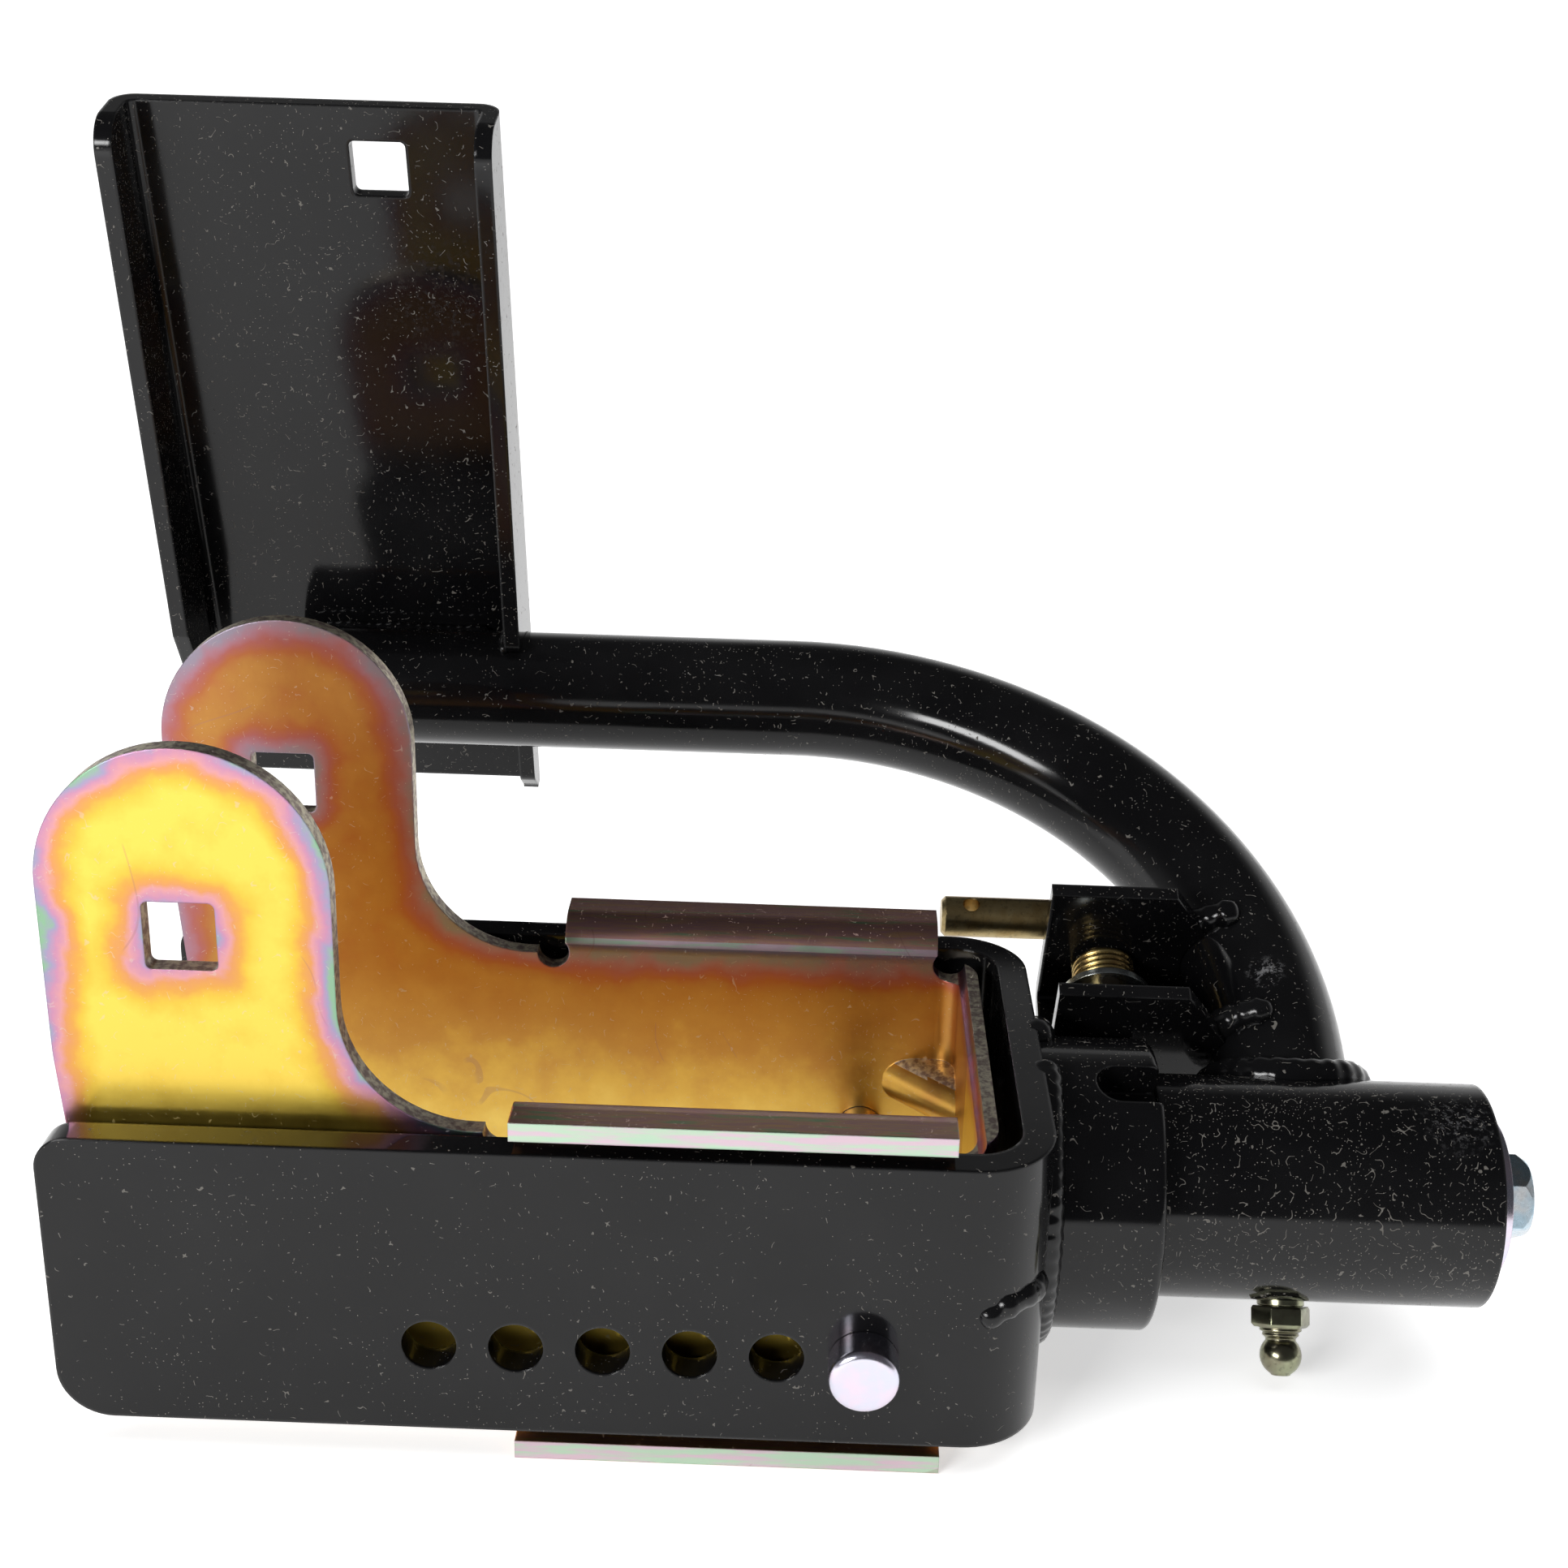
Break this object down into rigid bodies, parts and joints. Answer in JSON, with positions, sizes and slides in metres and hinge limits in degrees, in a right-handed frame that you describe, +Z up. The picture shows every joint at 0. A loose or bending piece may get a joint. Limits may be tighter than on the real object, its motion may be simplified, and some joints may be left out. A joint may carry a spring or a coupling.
{
  "type": "swing-arm mounting bracket",
  "caption": "Adjustable swing-arm bracket: plated channel pinned inside a black U bracket, with a bent tube arm and upright turning on a greased pivot and locked by a sprung L pin.",
  "frame": {"origin": "on the clevis pin's axis, in the outer face of the near side plate of the black bracket", "axes": "+X along the bracket and the pivot, towards the end bolt; +Y across the bracket, away from the clevis pin's head; +Z up"},
  "size_m": [0.2399, 0.166, 0.1853],
  "materials": {
    "black_coat": "gloss black powder coat",
    "yellow_zinc": "yellow chromate zinc plating, iridescent",
    "clear_zinc": "clear zinc plating",
    "nipple_zinc": "dull greenish zinc plating",
    "dark_steel": "oiled spring steel",
    "bare_steel": "turned steel, greased",
    "bronze": "sintered bronze, oiled"
  },
  "bodies": {
    "bracket": {"outer_bracket": "black_coat", "slide_channel": "yellow_zinc", "lock_collar": "black_coat", "collar_weld": "black_coat", "pivot_spindle": "bare_steel", "end_washer": "clear_zinc", "end_bolt": "clear_zinc"},
    "arm": {"pivot_sleeve": "black_coat", "inner_bush": "bronze", "outer_bush": "bronze", "grease_nipple": "nipple_zinc", "arm_tube": "black_coat", "arm_weld": "black_coat", "upright_channel": "black_coat", "upright_welds": "black_coat", "lock_housing": "black_coat", "housing_welds": "black_coat", "lock_spring": "yellow_zinc"},
    "lock_pin": {"lock_pin": "yellow_zinc", "lock_washer": "clear_zinc", "roll_pin": "dark_steel"},
    "clevis": {"clevis_pin": "clear_zinc", "pin_clip": "clear_zinc"}
  },
  "joints": [
    {"name": "arm_swing", "type": "hinge", "parent": "bracket", "child": "arm", "pos_m": [0.07, 0.0388, 0.008], "axis": [1, 0, 0], "range_deg": [-98, 82]},
    {"name": "lock_pin_pull", "type": "slide", "parent": "arm", "child": "lock_pin", "axis": [0, 0.9063, 0.4226], "range_m": [0, 0.0012], "stiffness_N_per_m": 1500, "springref_m": -0.008, "deforming": ["lock_spring"]},
    {"name": "clevis_pin_turn", "type": "hinge", "parent": "bracket", "child": "clevis", "pos_m": [0, 0.0388, 0], "axis": [0, 1, 0], "continuous": true}
  ]
}
